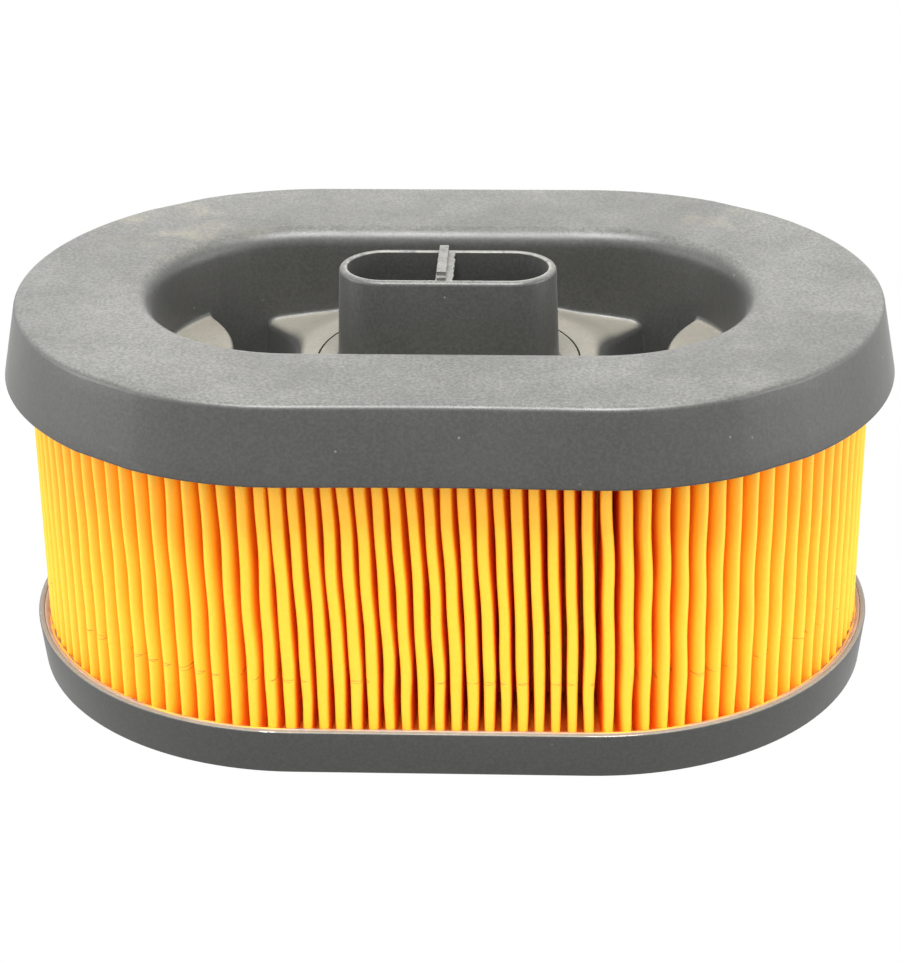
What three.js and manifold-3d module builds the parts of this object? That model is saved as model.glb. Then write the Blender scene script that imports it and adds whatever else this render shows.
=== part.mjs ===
// Air filter element with an obround plan: a ring of folded paper glued between a flared top cap
// and a closed base pan, with an outlet neck standing in the cap's well.
// Millimetres, +Z up. The origin is the middle of the base's resting face, and +X runs lengthwise.

import {
  BufferAttribute,
  BufferGeometry,
  BoxGeometry,
  CylinderGeometry,
  ExtrudeGeometry,
  Group,
  LatheGeometry,
  MathUtils,
  Mesh,
  MeshStandardMaterial,
  Path,
  QuadraticBezierCurve,
  Shape,
  Vector2,
} from "three";
import { mergeVertices } from "three/addons/utils/BufferGeometryUtils.js";
import Module from "manifold-3d";

const wasm = await Module();
wasm.setup();

// ---------------------------------------------------------------- driving dimensions

// Each long outline is an obround: two straight runs of this length joined by half circles. The
// outlines share their straight length, so one end radius gives the size of each.
const STRAIGHT = 61;
const GAP = 0.3; // clearance between pieces that touch
const CUT_MARGIN = 1; // how far a cutting tool reaches past what it cuts

// Base pan
const PAN_FOOT_R = 60.8;
const PAN_RIM_R = 61.8;
const PAN_HEIGHT = 10.2;
const PAN_WALL = 1.3;
const PAN_FLOOR = 2.2;
const PAN_RECESS = 2.4; // depth of the hollow under the middle of the pan
const PAN_RECESS_R = 34;
const PAN_FILLET = 0.8;

// Top cap
const SKIRT_FOOT_R = 64.5;
const SKIRT_FOOT_Z = 67;
const SHOULDER_R = 61.3; // where the skirt's slope would meet the top face
const SHOULDER_Z = 83.2;
const SHOULDER_FILLET = 1.3;
const CAP_WALL = 2.3;
const WELL_MOUTH_R = 33;
const WELL_MOUTH_FILLET = 4;
const WELL_FLOOR_R = 31.4;
const WELL_FLOOR_Z = 48;

// Raised seats in the well. Both finger pockets are bounded by arcs about one point on each side.
const POCKET_CENTRE_X = 84;
const PEDESTAL_ARC_R = 51;
const PLATFORM_ARC_R = 37.4;
const PLATFORM_Z = 67;
const SEAT_HOLLOW_Z = 60.2; // ceiling of the hollow under the seats
// Section of the pedestal's top about the neck's axis: a low crest round the flange, then a slope
const PEDESTAL_TOP = [
  [29, 66.8],
  [32, 67.3],
  [36, 66],
  [42, 63.9],
  [47.4, 63],
  [54, 62.4],
];

// Outlet neck
const NECK_STRAIGHT = 26.5;
const NECK_RIM_R = 9.75;
const NECK_RIM_Z = 88;
const NECK_RIM_FILLET = 1;
const NECK_FOOT_R = 10.5;
const NECK_WALL = 1.7;
const FLANGE_R = 28.1;
const FLANGE_TOP_Z = 67;
const FLANGE_THICKNESS = 1.7;
const FLANGE_SIDE_GAP = 0.6;
const GASKET_THICKNESS = 0.7;
const SPIGOT_END_Z = 56.5;
const LOCK_RING_HEIGHT = 2.4;
const LOCK_RING_WIDTH = 3.5;

// Divider plate across the neck
const DIVIDER_LEFT_X = -2.3;
const DIVIDER_RIGHT_X = 1.5;
const CREST_LEFT_X = -2;
const CREST_RIGHT_X = -0.1;
const CREST_Z = 89.4;
const DIVIDER_FOOT_Z = 60;
const DIVIDER_SLOT_DEPTH = 0.7;

// Folded paper
const FOLD_OUTER_R = 59.2;
const FOLD_INNER_R = 37.4;
const FOLDS_PER_STRAIGHT = 18;
const FOLDS_PER_END = 48;
const PAPER = 0.7;
const FOLD_TIP = 0.58; // width of a fold's flat tip, as a share of the pitch
const FOLD_BED = 0.2; // width of the valley between two tips, as a share of the pitch
const PAPER_FOOT_Z = 6.3;
const PAPER_TOP_Z = 77.6;
const SEAM_FOLD = 17; // the fold that holds the seam, counted from the front left
const SEAM_THICKNESS = 0.5;
const SEAM_INNER_R = 38.2;
const SEAM_OUTER_R = 43;

// Support cage inside the folds
const CAGE_OUTER_R = 36.7;
const CAGE_WALL = 1;
const CAGE_WINDOWS_PER_STRAIGHT = 5;
const CAGE_WINDOWS_PER_END = 8;
const CAGE_ROWS = 2;
const CAGE_BAR = 3;

// Glue beds
const LOWER_LIP_Z = 9.7;
const UPPER_LIP_Z = 75;

// Facets
const END_STEPS = 16; // round each half circle; even, so that one facet edge is the outermost
const FILLET_STEPS = 3;
const ROUND_STEPS = 48; // round a full circle

// ---------------------------------------------------------------- worked-out sizes

const CEILING_Z = SHOULDER_Z - CAP_WALL;
const SKIRT_SLOPE = (SKIRT_FOOT_R - SHOULDER_R) / (SHOULDER_Z - SKIRT_FOOT_Z);
const WELL_SLOPE = (WELL_MOUTH_R - WELL_FLOOR_R) / (SHOULDER_Z - WELL_FLOOR_Z);
const NECK_SLOPE = (NECK_FOOT_R - NECK_RIM_R) / (NECK_RIM_Z - FLANGE_TOP_Z);
const FLANGE_FOOT_Z = FLANGE_TOP_Z - FLANGE_THICKNESS;
const GASKET_TOP_Z = FLANGE_FOOT_Z - GAP;
const SEAT_Z = GASKET_TOP_Z - GASKET_THICKNESS - GAP;
const SPIGOT_R = neckRadius(FLANGE_FOOT_Z) - GAP;
const BORE_FOOT_R = neckRadius(SPIGOT_END_Z) - NECK_WALL - GAP;
const CAGE_INNER_R = CAGE_OUTER_R - CAGE_WALL;
const FOLDS = 2 * (FOLDS_PER_STRAIGHT + FOLDS_PER_END);

function skirtInnerRadius(z) {
  return SKIRT_FOOT_R - CAP_WALL - (z - SKIRT_FOOT_Z) * SKIRT_SLOPE;
}

function wellRadius(z) {
  return WELL_FLOOR_R + (z - WELL_FLOOR_Z) * WELL_SLOPE;
}

function neckRadius(z) {
  return NECK_RIM_R + (NECK_RIM_Z - z) * NECK_SLOPE;
}

// ---------------------------------------------------------------- shape helpers

/** Points of a section given as [radius, height, fillet] corners, with each fillet as a curve. */
function section(corners) {
  return corners.flatMap(([radius, height, fillet = 0], index) => {
    const corner = new Vector2(radius, height);
    if (fillet === 0) {
      return [corner];
    }
    const before = new Vector2(...corners.at(index - 1)).sub(corner).normalize();
    const after = new Vector2(...corners[(index + 1) % corners.length]).sub(corner).normalize();
    const reach = fillet / Math.tan(Math.acos(before.dot(after)) / 2);
    const start = corner.clone().addScaledVector(before, reach);
    const end = corner.clone().addScaledVector(after, reach);
    return new QuadraticBezierCurve(start, corner, end).getPoints(FILLET_STEPS);
  });
}

/** A point of an obround's side: right or left half circle, and the angle round from the front. */
function obroundPoint(half, angle, radius, straight) {
  return [half * (straight / 2 + radius * Math.sin(angle)), -radius * Math.cos(angle)];
}

/**
 * Carries a section round an obround: a lathe cut in half, with the halves moved apart. The section
 * runs anticlockwise. It closes on itself, unless it starts and ends on the axis.
 */
function obroundBody(corners, straight = STRAIGHT) {
  const points = section(corners);
  if (points[0].x > 0) {
    points.push(points[0].clone());
  }
  const rings = 2 * (END_STEPS + 1);
  const lathe = new LatheGeometry(points, rings);
  const position = lathe.getAttribute("position");
  for (let ring = 0; ring <= rings; ring += 1) {
    const onRight = ring % rings <= END_STEPS;
    const step = onRight ? ring % rings : rings - 1 - ring;
    const angle = (Math.PI * step) / END_STEPS;
    points.forEach((point, index) => {
      const [x, y] = obroundPoint(onRight ? 1 : -1, angle, point.x, straight);
      position.setXYZ(ring * points.length + index, x, y, point.y);
    });
  }
  return lathe;
}

/** A body of revolution about +Z from an axis-to-axis section, running anticlockwise. */
function roundBody(corners) {
  return new LatheGeometry(section(corners), ROUND_STEPS).rotateX(Math.PI / 2);
}

/** A solid obround plug between two heights, with a straight taper between its end radii. */
function obroundPlug(lowZ, lowR, highZ, highR, straight = STRAIGHT) {
  return obroundBody([[0, lowZ], [lowR, lowZ], [highR, highZ], [0, highZ]], straight);
}

/** A box from its low and high corners. */
function block([x0, y0, z0], [x1, y1, z1]) {
  const geometry = new BoxGeometry(x1 - x0, y1 - y0, z1 - z0);
  return geometry.translate((x0 + x1) / 2, (y0 + y1) / 2, (z0 + z1) / 2);
}

/** An upright cylinder about the point (x, 0). */
function disc(x, radius, lowZ, highZ) {
  const geometry = new CylinderGeometry(radius, radius, highZ - lowZ, ROUND_STEPS);
  return geometry.rotateX(Math.PI / 2).translate(x, 0, (lowZ + highZ) / 2);
}

// ---------------------------------------------------------------- joining and cutting

function solid(geometry) {
  const bare = geometry.clone();
  bare.deleteAttribute("normal");
  bare.deleteAttribute("uv");
  const merged = mergeVertices(bare, 1e-4);
  const mesh = new wasm.Mesh({
    numProp: 3,
    vertProperties: merged.getAttribute("position").array,
    triVerts: new Uint32Array(merged.index.array),
  });
  return new wasm.Manifold(mesh);
}

function geometryOf(body) {
  const mesh = body.getMesh();
  const geometry = new BufferGeometry();
  geometry.setAttribute("position", new BufferAttribute(mesh.vertProperties, mesh.numProp));
  geometry.setIndex(new BufferAttribute(mesh.triVerts, 1));
  const flat = geometry.toNonIndexed();
  flat.computeVertexNormals();
  return flat;
}

/** A geometry with other geometries taken out of it. */
function carve(geometry, ...tools) {
  return geometryOf(tools.reduce((body, tool) => body.subtract(solid(tool)), solid(geometry)));
}

// ---------------------------------------------------------------- materials

const caps = new MeshStandardMaterial({ color: 0x6b6b66, roughness: 0.55, metalness: 0 });
const paper = new MeshStandardMaterial({ color: 0xf6b83a, roughness: 0.85, metalness: 0 });
const glue = new MeshStandardMaterial({ color: 0xb3a79c, roughness: 0.5, metalness: 0 });
const gasketRubber = new MeshStandardMaterial({ color: 0x1d1d1d, roughness: 0.8, metalness: 0 });
const cagePlastic = new MeshStandardMaterial({ color: 0x454545, roughness: 0.6, metalness: 0 });

// ---------------------------------------------------------------- sub-parts

/** The closed pan under the folds. Its foot is a flat obround ring round a shallow recess. */
function basePan() {
  const innerFootR = PAN_FOOT_R - PAN_WALL;
  const panelTop = PAN_RECESS + PAN_FLOOR;
  return obroundBody([
    [0, PAN_RECESS],
    [PAN_RECESS_R - PAN_RECESS, PAN_RECESS],
    [PAN_RECESS_R, 0],
    [PAN_FOOT_R, 0, PAN_FILLET],
    [PAN_RIM_R, PAN_HEIGHT],
    [PAN_RIM_R - PAN_WALL, PAN_HEIGHT],
    [innerFootR + PAN_FILLET, PAN_FLOOR],
    [PAN_RECESS_R + GAP, PAN_FLOOR],
    [PAN_RECESS_R + GAP, panelTop],
    [0, panelTop],
  ]);
}

/** The trough of adhesive in the pan, with a thin lip outside the folds. */
function lowerGlueBed() {
  const foot = PAN_FLOOR + GAP;
  const top = PAPER_FOOT_Z - GAP;
  const innerR = PAN_RECESS_R + 2 * GAP;
  const lipR = PAN_FOOT_R - PAN_WALL + PAN_FILLET;
  return obroundBody([
    [innerR, foot],
    [lipR - GAP, foot],
    [lipR - GAP, LOWER_LIP_Z],
    [FOLD_OUTER_R + GAP, LOWER_LIP_Z],
    [FOLD_OUTER_R + GAP, top],
    [innerR, top],
  ]);
}

/** The layer of adhesive under the cap's shoulder, with a lip between the folds and the skirt. */
function upperGlueBed() {
  const foot = PAPER_TOP_Z + GAP;
  const top = CEILING_Z - GAP;
  return obroundBody([
    [CAGE_INNER_R, foot],
    [FOLD_OUTER_R + GAP, foot],
    [FOLD_OUTER_R + GAP, UPPER_LIP_Z],
    [skirtInnerRadius(UPPER_LIP_Z) - GAP, UPPER_LIP_Z],
    [skirtInnerRadius(top) - GAP, top],
    [CAGE_INNER_R, top],
  ]);
}

/** Where the fold path is, counted in folds from the front left, at a distance from the core line. */
function foldPoint(fold, radius) {
  const side = FOLDS_PER_STRAIGHT + FOLDS_PER_END;
  const turn = MathUtils.euclideanModulo(fold, FOLDS);
  const half = turn < side ? 1 : -1;
  const along = turn % side;
  const run = Math.min(along / FOLDS_PER_STRAIGHT, 1);
  const angle = (Math.PI * Math.max(along - FOLDS_PER_STRAIGHT, 0)) / FOLDS_PER_END;
  const x = half * (STRAIGHT * (run - 0.5) + radius * Math.sin(angle));
  return new Vector2(x, -half * radius * Math.cos(angle));
}

/** One strip of paper folded to and fro into a ring. The tips are flat, and the flanks straight. */
function pleatPack() {
  const outer = [];
  const inner = [];
  for (let fold = 0; fold < FOLDS; fold += 1) {
    const valley = fold + 0.5;
    for (const side of [-0.5, 0.5]) {
      outer.push(foldPoint(fold + side * FOLD_TIP, FOLD_OUTER_R));
      inner.push(foldPoint(fold + side * FOLD_BED, FOLD_OUTER_R - PAPER));
    }
    for (const side of [-0.5, 0.5]) {
      outer.push(foldPoint(valley + side * FOLD_BED, FOLD_INNER_R + PAPER));
      inner.push(foldPoint(valley + side * FOLD_TIP, FOLD_INNER_R));
    }
  }
  const plan = new Shape(outer);
  plan.holes.push(new Path(inner));
  const depth = PAPER_TOP_Z - PAPER_FOOT_Z;
  return new ExtrudeGeometry(plan, { depth, bevelEnabled: false }).translate(0, 0, PAPER_FOOT_Z);
}

/** The strip on the inner side of one fold, which holds the two ends of the paper together. */
function seamStrip() {
  const inside = foldPoint(SEAM_FOLD, SEAM_INNER_R);
  const outside = foldPoint(SEAM_FOLD, SEAM_OUTER_R);
  const run = outside.clone().sub(inside);
  const middle = inside.clone().lerp(outside, 0.5);
  const height = PAPER_TOP_Z - PAPER_FOOT_Z;
  const strip = new BoxGeometry(run.length(), SEAM_THICKNESS, height);
  return strip.rotateZ(run.angle()).translate(middle.x, middle.y, PAPER_FOOT_Z + height / 2);
}

/** Outlines of the cage's windows: each cutter is a box that stands across the cage's wall. */
function cageWindows() {
  const rowHeight = (PAPER_TOP_Z - PAPER_FOOT_Z - CAGE_BAR) / CAGE_ROWS;
  const straightPitch = STRAIGHT / CAGE_WINDOWS_PER_STRAIGHT;
  const endPitch = Math.PI / CAGE_WINDOWS_PER_END;
  const depth = CAGE_WALL + 2 * CUT_MARGIN;
  const cutters = [];
  const cutter = (width, row) => {
    const box = new BoxGeometry(width, depth, rowHeight - CAGE_BAR);
    const z = PAPER_FOOT_Z + CAGE_BAR + (row + 0.5) * rowHeight - CAGE_BAR / 2;
    return box.translate(0, -CAGE_OUTER_R + CAGE_WALL / 2, z);
  };
  for (let row = 0; row < CAGE_ROWS; row += 1) {
    for (let turn = 0; turn < 2; turn += 1) {
      for (let k = 0; k < CAGE_WINDOWS_PER_STRAIGHT; k += 1) {
        const x = (k + 0.5) * straightPitch - STRAIGHT / 2;
        cutters.push(cutter(straightPitch - CAGE_BAR, row).translate(x, 0, 0).rotateZ(turn * Math.PI));
      }
      for (let k = 0; k < CAGE_WINDOWS_PER_END; k += 1) {
        const box = cutter(CAGE_OUTER_R * endPitch - CAGE_BAR, row).rotateZ((k + 0.5) * endPitch);
        cutters.push(box.translate(STRAIGHT / 2, 0, 0).rotateZ(turn * Math.PI));
      }
    }
  }
  return cutters;
}

/** The liner that the folds lean on: upright bars between three hoops. */
function supportCage() {
  const wall = obroundBody([
    [CAGE_INNER_R, PAPER_FOOT_Z],
    [CAGE_OUTER_R, PAPER_FOOT_Z],
    [CAGE_OUTER_R, PAPER_TOP_Z],
    [CAGE_INNER_R, PAPER_TOP_Z],
  ]);
  return carve(wall, ...cageWindows());
}

/** The cap's skirt, shoulder and well as one shell, before anything stands in the well. */
function capShell() {
  const wellFoot = WELL_FLOOR_Z - CAP_WALL;
  return obroundBody([
    [0, wellFoot],
    [WELL_FLOOR_R + CAP_WALL, wellFoot],
    [wellRadius(CEILING_Z) + CAP_WALL, CEILING_Z],
    [skirtInnerRadius(CEILING_Z), CEILING_Z],
    [skirtInnerRadius(SKIRT_FOOT_Z), SKIRT_FOOT_Z],
    [SKIRT_FOOT_R, SKIRT_FOOT_Z],
    [SHOULDER_R, SHOULDER_Z, SHOULDER_FILLET],
    [WELL_MOUTH_R, SHOULDER_Z, WELL_MOUTH_FILLET],
    [WELL_FLOOR_R, WELL_FLOOR_Z],
    [0, WELL_FLOOR_Z],
  ]);
}

/** What the well holds between two heights, out to a distance past its wall's inner face. */
function wellPlug(lowZ, highZ, past) {
  return solid(obroundPlug(lowZ, wellRadius(lowZ) + past, highZ, wellRadius(highZ) + past));
}

/** The space between the two finger pockets, as far as an arc on each side. */
function pedestalSpace(lowZ, highZ, inset, past) {
  const arcR = PEDESTAL_ARC_R + inset;
  const right = solid(disc(POCKET_CENTRE_X, arcR, lowZ - CUT_MARGIN, highZ + CUT_MARGIN));
  const left = solid(disc(-POCKET_CENTRE_X, arcR, lowZ - CUT_MARGIN, highZ + CUT_MARGIN));
  return wellPlug(lowZ, highZ, past).subtract(right).subtract(left);
}

/** The space over one end of the well, from the finger pocket outwards. */
function platformSpace(side, lowZ, highZ, inset, past) {
  const arcR = PLATFORM_ARC_R - inset;
  const end = disc(side * POCKET_CENTRE_X, arcR, lowZ - CUT_MARGIN, highZ + CUT_MARGIN);
  return wellPlug(lowZ, highZ, past).intersect(solid(end));
}

/** Everything under the pedestal's low crest and slope, as a body about the neck's axis. */
function pedestalDome() {
  const [, middleZ] = PEDESTAL_TOP[0];
  const [outerR] = PEDESTAL_TOP.at(-1);
  return roundBody([[0, 0], [outerR, 0], ...PEDESTAL_TOP.toReversed(), [0, middleZ]]);
}

/** The cap: its shell, the domed pedestal that carries the neck, and a platform at each end. */
function topCap() {
  const inWall = CAP_WALL / 2;
  const floorZ = WELL_FLOOR_Z - CAP_WALL / 2;
  const below = WELL_FLOOR_Z - 2 * CAP_WALL;
  let cap = solid(capShell());
  cap = cap.add(pedestalSpace(floorZ, SHOULDER_Z, 0, inWall).intersect(solid(pedestalDome())));
  cap = cap.subtract(pedestalSpace(below, SEAT_HOLLOW_Z, CAP_WALL, 0));
  for (const side of [1, -1]) {
    cap = cap.add(platformSpace(side, floorZ, PLATFORM_Z, 0, inWall));
    cap = cap.subtract(platformSpace(side, below, PLATFORM_Z - CAP_WALL, CAP_WALL, 0));
  }
  cap = cap.subtract(solid(disc(0, FLANGE_R + FLANGE_SIDE_GAP, SEAT_Z, SHOULDER_Z)));
  const spigotHole = obroundPlug(0, SPIGOT_R + GAP, SHOULDER_Z, SPIGOT_R + GAP, NECK_STRAIGHT);
  return geometryOf(cap.subtract(solid(spigotHole)));
}

/** The tube that the engine draws clean air from, on a round flange, with a spigot under it. */
function outletNeck() {
  const outside = obroundBody(
    [
      [0, SPIGOT_END_Z],
      [SPIGOT_R, SPIGOT_END_Z],
      [SPIGOT_R, FLANGE_FOOT_Z],
      [NECK_FOOT_R, FLANGE_TOP_Z],
      [NECK_RIM_R, NECK_RIM_Z, NECK_RIM_FILLET],
      [0, NECK_RIM_Z],
    ],
    NECK_STRAIGHT,
  );
  const boreTopR = NECK_RIM_R - NECK_WALL;
  const bore = obroundPlug(
    SPIGOT_END_Z - CUT_MARGIN,
    BORE_FOOT_R,
    NECK_RIM_Z + CUT_MARGIN,
    boreTopR,
    NECK_STRAIGHT,
  );
  const flange = disc(0, FLANGE_R, FLANGE_FOOT_Z, FLANGE_TOP_Z);
  const reach = boreTopR + DIVIDER_SLOT_DEPTH;
  const slot = block(
    [DIVIDER_LEFT_X - GAP, -reach, DIVIDER_FOOT_Z - GAP],
    [DIVIDER_RIGHT_X + GAP, reach, NECK_RIM_Z + CUT_MARGIN],
  );
  return geometryOf(
    solid(outside).add(solid(flange)).subtract(solid(bore)).subtract(solid(slot)),
  );
}

/** The plate across the neck, with a crest that stands a little above the neck's rim. */
function neckDivider() {
  const reach = NECK_RIM_R - NECK_WALL + DIVIDER_SLOT_DEPTH - GAP;
  const web = block([DIVIDER_LEFT_X, -reach, DIVIDER_FOOT_Z], [DIVIDER_RIGHT_X, reach, NECK_RIM_Z]);
  const rootZ = NECK_RIM_Z - CUT_MARGIN;
  const crest = block([CREST_LEFT_X, -reach, rootZ], [CREST_RIGHT_X, reach, CREST_Z]);
  return geometryOf(solid(web).add(solid(crest)));
}

/** The flat ring between the neck's flange and its seat in the pedestal. */
function neckGasket() {
  const plate = disc(0, FLANGE_R, SEAT_Z + GAP, GASKET_TOP_Z);
  return carve(plate, obroundPlug(0, SPIGOT_R + GAP, SHOULDER_Z, SPIGOT_R + GAP, NECK_STRAIGHT));
}

/** The collar pushed onto the spigot from below, up against the pedestal's hollow. */
function neckLockRing() {
  const top = SEAT_HOLLOW_Z - GAP;
  const inner = SPIGOT_R + GAP;
  return obroundBody(
    [
      [inner, top - LOCK_RING_HEIGHT],
      [inner + LOCK_RING_WIDTH, top - LOCK_RING_HEIGHT],
      [inner + LOCK_RING_WIDTH, top],
      [inner, top],
    ],
    NECK_STRAIGHT,
  );
}

// ---------------------------------------------------------------- assembly

const group = new Group();

function place(name, geometry, material) {
  const mesh = new Mesh(geometry, material);
  mesh.name = name;
  group.add(mesh);
}

place("base_cap", basePan(), caps);
place("lower_glue_bed", lowerGlueBed(), glue);
place("pleat_pack", pleatPack(), paper);
place("seam_strip", seamStrip(), glue);
place("support_cage", supportCage(), cagePlastic);
place("upper_glue_bed", upperGlueBed(), glue);
place("top_cap", topCap(), caps);
place("neck_gasket", neckGasket(), gasketRubber);
place("outlet_neck", outletNeck(), caps);
place("neck_divider", neckDivider(), caps);
place("neck_lock_ring", neckLockRing(), caps);

export default group;
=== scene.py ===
"""Air filter element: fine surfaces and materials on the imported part, in a bright photo studio.

The shapes are worked out in millimetres, with +Z up, +X along the element and the front at -Y, and
are scaled to metres when a mesh is made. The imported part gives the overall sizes.
"""

import math

import bmesh
import bpy
import numpy as np
from mathutils import Matrix, Vector


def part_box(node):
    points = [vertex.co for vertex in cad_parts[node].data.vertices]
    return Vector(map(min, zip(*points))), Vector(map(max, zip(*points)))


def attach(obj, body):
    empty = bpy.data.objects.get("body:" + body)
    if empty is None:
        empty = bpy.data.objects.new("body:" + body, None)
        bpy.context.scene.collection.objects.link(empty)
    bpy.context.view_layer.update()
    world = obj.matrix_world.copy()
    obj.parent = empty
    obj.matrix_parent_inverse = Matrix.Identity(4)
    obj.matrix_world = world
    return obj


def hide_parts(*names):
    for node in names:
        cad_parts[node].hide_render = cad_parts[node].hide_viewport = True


MM = 0.001

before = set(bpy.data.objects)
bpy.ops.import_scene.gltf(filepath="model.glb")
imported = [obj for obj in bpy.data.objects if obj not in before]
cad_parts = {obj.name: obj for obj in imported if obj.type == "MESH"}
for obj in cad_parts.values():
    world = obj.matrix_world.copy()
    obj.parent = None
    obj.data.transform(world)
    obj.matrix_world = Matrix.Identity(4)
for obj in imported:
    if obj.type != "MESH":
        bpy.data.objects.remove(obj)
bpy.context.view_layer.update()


def box_mm(node):
    """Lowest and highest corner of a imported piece, in millimetres."""
    low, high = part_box(node)
    return Vector(low) / MM, Vector(high) / MM


CAP_LOW, CAP_HIGH = box_mm("top_cap")
PAN_HIGH = box_mm("base_cap")[1]
PAPER_LOW, PAPER_HIGH = box_mm("pleat_pack")
NECK_LOW, NECK_HIGH = box_mm("outlet_neck")
DIVIDER_LOW, DIVIDER_HIGH = box_mm("neck_divider")

# ---------------------------------------------------------------- driving dimensions, millimetres

# Outlines are obrounds: two straight runs joined by half circles, all with the same straight length
STRAIGHT = (CAP_HIGH.x - CAP_LOW.x) - (CAP_HIGH.y - CAP_LOW.y)
HALF_STRAIGHT = STRAIGHT / 2

# Top cap
SKIRT_R = CAP_HIGH.y
SKIRT_FOOT_Z = 67
SHOULDER_R = 61.3
SHOULDER_Z = CAP_HIGH.z
SHOULDER_FILLET = 1.3
CAP_WALL = 2.3
MOUTH_R = 33
MOUTH_FILLET = 4
WELL_FLOOR_R = 31.4
WELL_FLOOR_Z = CAP_LOW.z + CAP_WALL
FRONT_BOW = 0.7  # how far the front long side sinks in at its middle

# Seats and finger pockets in the well, whose edges are arcs about one point on each side
POCKET_CENTRE_X = 84
PEDESTAL_ARC_R = 51
PLATFORM_ARC_R = 37.4
PLATFORM_Z = 67
POCKET_DRAFT = 0.9
PEDESTAL_EDGE = 2.6
PLATFORM_EDGE = 0.9
POCKET_FILLET = 2.5
SEAT_FILLET = 1.2  # between the seats and the well's wall
STAIN_Z = 83
STAINS = ((-62, 38, 34), (58, 45, 20))  # x, y and radius of the two stains on the shoulder
PEDESTAL_HOLLOW_Z = 60.2
PEDESTAL_SLOPE = [  # distance from the neck's axis, height
    (0, 66.7),
    (29, 66.8),
    (32, 67.3),
    (36, 66.0),
    (42, 63.9),
    (47.4, 63.0),
    (60, 62.0),
]

# Outlet neck and its flange
NECK_STRAIGHT = 26.5
NECK_RIM_R = 9.75
NECK_FOOT_R = 10.5
NECK_WALL = 1.7
NECK_RIM_FILLET = 0.9
NECK_FOOT_FILLET = 0.9
FLANGE_R = NECK_HIGH.y
FLANGE_Z = 67
FLANGE_THICKNESS = 1.7
SEAT_R = FLANGE_R + 0.3
SEAT_Z = 64
BELOW_CAP_Z = 40  # where the tools that cut the cap begin
ABOVE_SEAT_Z = 80  # and where they end
SPIGOT_R = 10.25
SPIGOT_BORE_R = 8.9
SPIGOT_HOLE_R = 10.55

# Divider across the neck
CREST_LEFT_X = -2.0
CREST_RIGHT_X = -0.1
CREST_STEP = 0.8  # the drop at the crest's front end
FLASH_THICKNESS = 0.5

# Base pan
PAN_FOOT_R = 60.8
PAN_WALL = 1.3
PAN_FLOOR = 2.2
PAN_RECESS = 2.4
PAN_RECESS_R = 34
PAN_FOOT_FILLET = 0.5

# Folded paper
FOLDS_PER_STRAIGHT = 18
FOLDS_PER_END = 48
FOLDS = 2 * (FOLDS_PER_STRAIGHT + FOLDS_PER_END)
PITCH = STRAIGHT / FOLDS_PER_STRAIGHT
FOLD_OUTER_R = PAPER_HIGH.y
FOLD_INNER_R = 37.4
PAPER_PLY = 0.6
TIP_HALF_WIDTH = (1.15, 1.42)  # on the straights, round the ends
TIP_DEPTH = (1.8, 3.2)  # how far in a fold reaches its full width
TIP_SQUARENESS = (2.9, 2.1)  # 2 is an ellipse, more is boxier
TIP_PINCH = 0.13  # share of the half width lost at the foot, where the folds enter the adhesive
FOLD_LEAN = 2.4  # how far the tops of the front folds lean to the left
LEAN_START_Z = 22
WAVINESS = 0.19  # how far a fold wanders from its own line
SEAM_FOLD = 18.1  # place of the seam, in folds from the front left
SEAM_OPENING = 0.03  # in folds
INK_LINE_Z = 20.8

RNG = np.random.default_rng(38)


# ---------------------------------------------------------------- mesh helpers


def make_mesh(name, points, faces, material, sharp_angle=35):
    """A smooth-shaded mesh from millimetre points, with edges sharper than the angle kept crisp."""
    mesh = bpy.data.meshes.new(name)
    mesh.from_pydata((np.asarray(points, float) * MM).tolist(), [], [list(f) for f in faces])
    tidy(mesh, sharp_angle)
    mesh.materials.append(material)
    piece = bpy.data.objects.new(name, mesh)
    bpy.context.scene.collection.objects.link(piece)
    return piece


def tidy(mesh, sharp_angle):
    """Merges coincident points, turns all faces outwards and sets the shading."""
    work = bmesh.new()
    work.from_mesh(mesh)
    bmesh.ops.remove_doubles(work, verts=work.verts, dist=0.002 * MM)
    bmesh.ops.dissolve_degenerate(work, edges=work.edges, dist=0.001 * MM)
    bmesh.ops.recalc_face_normals(work, faces=work.faces)
    work.to_mesh(mesh)
    work.free()
    mesh.shade_smooth()
    mesh.set_sharp_from_angle(angle=math.radians(sharp_angle))


def grid_faces(rows, columns, wrap_rows=False, wrap_columns=True, first=0):
    """Four-sided faces over a grid of points stored row by row."""
    row = np.arange(rows if wrap_rows else rows - 1)[:, None]
    column = np.arange(columns if wrap_columns else columns - 1)[None, :]
    next_row = (row + 1) % rows
    next_column = (column + 1) % columns
    corners = [
        row * columns + column,
        row * columns + next_column,
        next_row * columns + next_column,
        next_row * columns + column,
    ]
    return np.stack(corners, axis=-1).reshape(-1, 4) + first


def rounded(corners, steps=6):
    """A section's points from (radius, height, fillet) corners, with each fillet as an arc."""
    points = []
    count = len(corners)
    for index, (radius, height, fillet) in enumerate(corners):
        corner = np.array([radius, height], float)
        if fillet == 0:
            points.append(corner)
            continue
        before = np.array(corners[index - 1][:2]) - corner
        after = np.array(corners[(index + 1) % count][:2]) - corner
        before /= np.linalg.norm(before)
        after /= np.linalg.norm(after)
        half_angle = math.acos(np.clip(before @ after, -1, 1)) / 2
        bisector = (before + after) / np.linalg.norm(before + after)
        centre = corner + bisector * fillet / math.sin(half_angle)
        start = corner + before * fillet / math.tan(half_angle) - centre
        end = corner + after * fillet / math.tan(half_angle) - centre
        sweep = math.pi - 2 * half_angle
        for step in np.linspace(0, 1, steps + 1):
            blend = math.sin((1 - step) * sweep) * start + math.sin(step * sweep) * end
            points.append(centre + blend / math.sin(sweep))
    return np.array(points)


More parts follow.
